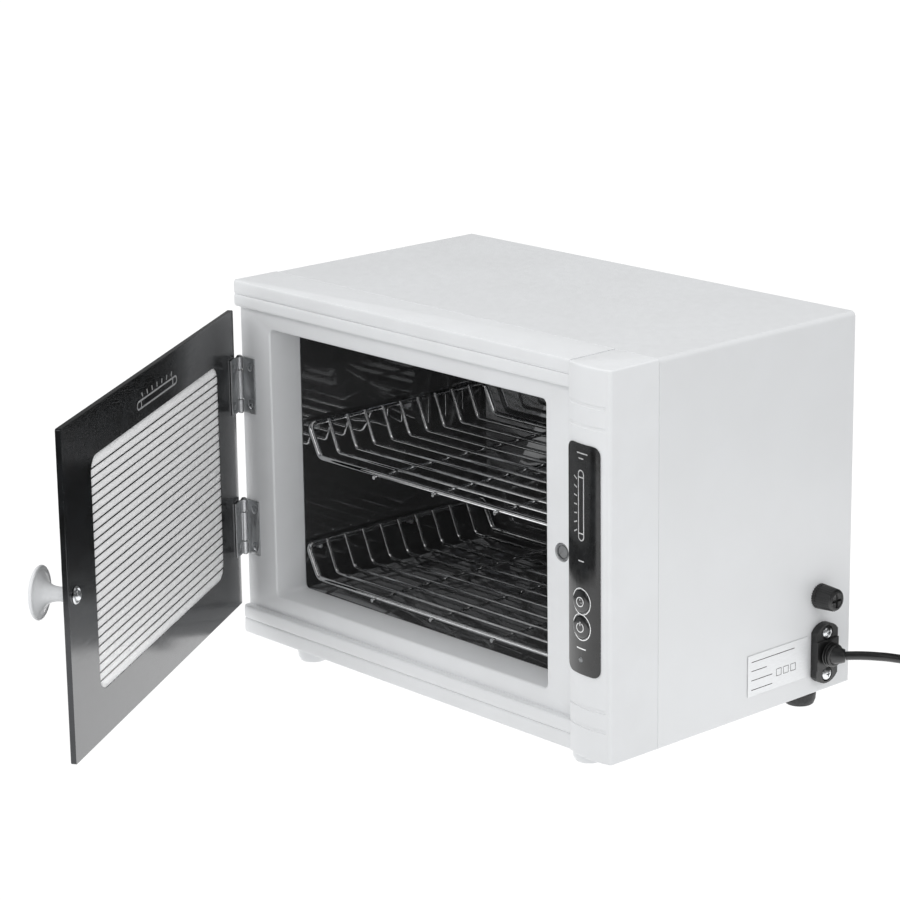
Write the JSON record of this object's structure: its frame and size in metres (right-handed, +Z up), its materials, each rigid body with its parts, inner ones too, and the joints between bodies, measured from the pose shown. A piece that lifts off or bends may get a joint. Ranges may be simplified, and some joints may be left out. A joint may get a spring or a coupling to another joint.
{
  "type": "uv sterilizer cabinet",
  "caption": "Countertop ultraviolet sterilizer cabinet with a side-hinged printed door, polished chamber, wire racks, pillar buttons, rear-side fuse holder and coiled mains cord.",
  "frame": {"origin": "centre of the cabinet's underside, which is the underside of its base pan; the feet reach 8 mm below it", "axes": "+X towards the right-hand end seen from the front, +Y towards the back, +Z up; the front faces -Y"},
  "size_m": [0.4274, 0.5653, 0.234],
  "materials": {
    "white_abs": "satin moulded",
    "white_paint": "smooth powder coat",
    "mirror_steel": "polished stainless sheet",
    "hinge_steel": "plain nickel-plated",
    "screw_steel": "zinc or nickel plated",
    "chrome_wire": "bright chrome plated wire",
    "clear_acrylic": "clear sheet with dark edges",
    "black_print": "glossy screen print",
    "lamp_glass": "clear quartz tube with metal end caps",
    "lamp_holder": "moulded",
    "ballast_can": "plain can",
    "board_green": "solder-masked board",
    "label_film": "glossy overlay film",
    "button_plastic": "glossy with a silver ring",
    "led_lens": "tinted lens",
    "magnet_steel": "nickel-plated magnet",
    "black_plastic": "moulded",
    "fuse_glass": "glass tube with metal caps",
    "black_rubber": "matt",
    "cord_pvc": "semi-matt sheath",
    "silver_film": "brushed silver film"
  },
  "bodies": {
    "cabinet": {"front_bezel": "white_abs", "casing_wrap": "white_paint", "rear_panel": "white_paint", "base_pan": "white_paint", "chamber_liner": "mirror_steel", "lamp_socket_left": "lamp_holder", "lamp_socket_right": "lamp_holder", "ballast": "ballast_can", "control_board": "board_green", "control_label": "label_film", "indicator_led": "led_lens", "door_magnet": "magnet_steel", "fuse_holder_body": "black_plastic", "cord_clamp_plate": "black_plastic", "strain_relief": "black_rubber", "clamp_screw_top": "screw_steel", "clamp_screw_bottom": "screw_steel", "power_cord": "cord_pvc", "cord_coil": "cord_pvc", "cord_tie": "black_rubber", "cord_plug": "black_plastic", "front_left_foot": "white_abs", "front_right_foot": "white_abs", "rear_left_foot": "black_rubber", "rear_right_foot": "black_rubber", "rating_label": "silver_film", "hinge_upper_frame_leaf": "hinge_steel", "hinge_upper_pin": "hinge_steel", "upper_frame_screw_top": "screw_steel", "upper_frame_screw_bottom": "screw_steel", "upper_left_front_peg": "screw_steel", "upper_left_middle_peg": "screw_steel", "upper_right_front_peg": "screw_steel", "upper_right_middle_peg": "screw_steel", "hinge_lower_frame_leaf": "hinge_steel", "hinge_lower_pin": "hinge_steel", "lower_frame_screw_top": "screw_steel", "lower_frame_screw_bottom": "screw_steel", "lower_left_front_peg": "screw_steel", "lower_left_middle_peg": "screw_steel", "lower_right_front_peg": "screw_steel", "lower_right_middle_peg": "screw_steel"},
    "door": {"door_panel": "clear_acrylic", "door_print": "black_print", "door_knob": "white_abs", "knob_washer": "screw_steel", "knob_screw": "screw_steel", "hinge_upper_door_leaf": "hinge_steel", "hinge_lower_door_leaf": "hinge_steel", "upper_door_screw_top": "screw_steel", "upper_door_screw_bottom": "screw_steel", "lower_door_screw_top": "screw_steel", "lower_door_screw_bottom": "screw_steel"},
    "upper_rack": {"upper_rack": "chrome_wire"},
    "lower_rack": {"lower_rack": "chrome_wire"},
    "timer_button": {"button_timer": "button_plastic"},
    "power_button": {"button_power": "button_plastic"},
    "fuse_cap": {"fuse_cap": "black_plastic", "fuse_cartridge": "fuse_glass"},
    "uv_lamp": {"uv_lamp": "lamp_glass"}
  },
  "joints": [
    {"name": "door_hinge", "type": "hinge", "parent": "cabinet", "child": "door", "pos_m": [-0.1625, -0.0963, 0.113], "axis": [0, 0, -1], "range_deg": [-57, 123]},
    {"name": "upper_rack_slide", "type": "slide", "parent": "cabinet", "child": "upper_rack", "axis": [0, -1, 0], "range_m": [0, 0.065]},
    {"name": "lower_rack_slide", "type": "slide", "parent": "cabinet", "child": "lower_rack", "axis": [0, -1, 0], "range_m": [0, 0.065]},
    {"name": "timer_press", "type": "slide", "parent": "cabinet", "child": "timer_button", "axis": [0, 1, 0], "range_m": [0, 0.0006], "stiffness_N_per_m": 400, "springref_m": -0.001},
    {"name": "power_press", "type": "slide", "parent": "cabinet", "child": "power_button", "axis": [0, 1, 0], "range_m": [0, 0.0006], "stiffness_N_per_m": 400, "springref_m": -0.001},
    {"name": "fuse_cap_turn", "type": "hinge", "parent": "cabinet", "child": "fuse_cap", "pos_m": [0.1666, 0.0719, 0.0596], "axis": [1, 0, 0], "range_deg": [0, 90]},
    {"name": "lamp_turn", "type": "hinge", "parent": "cabinet", "child": "uv_lamp", "pos_m": [0, 0.031, 0.184], "axis": [1, 0, 0], "range_deg": [0, 90]}
  ]
}
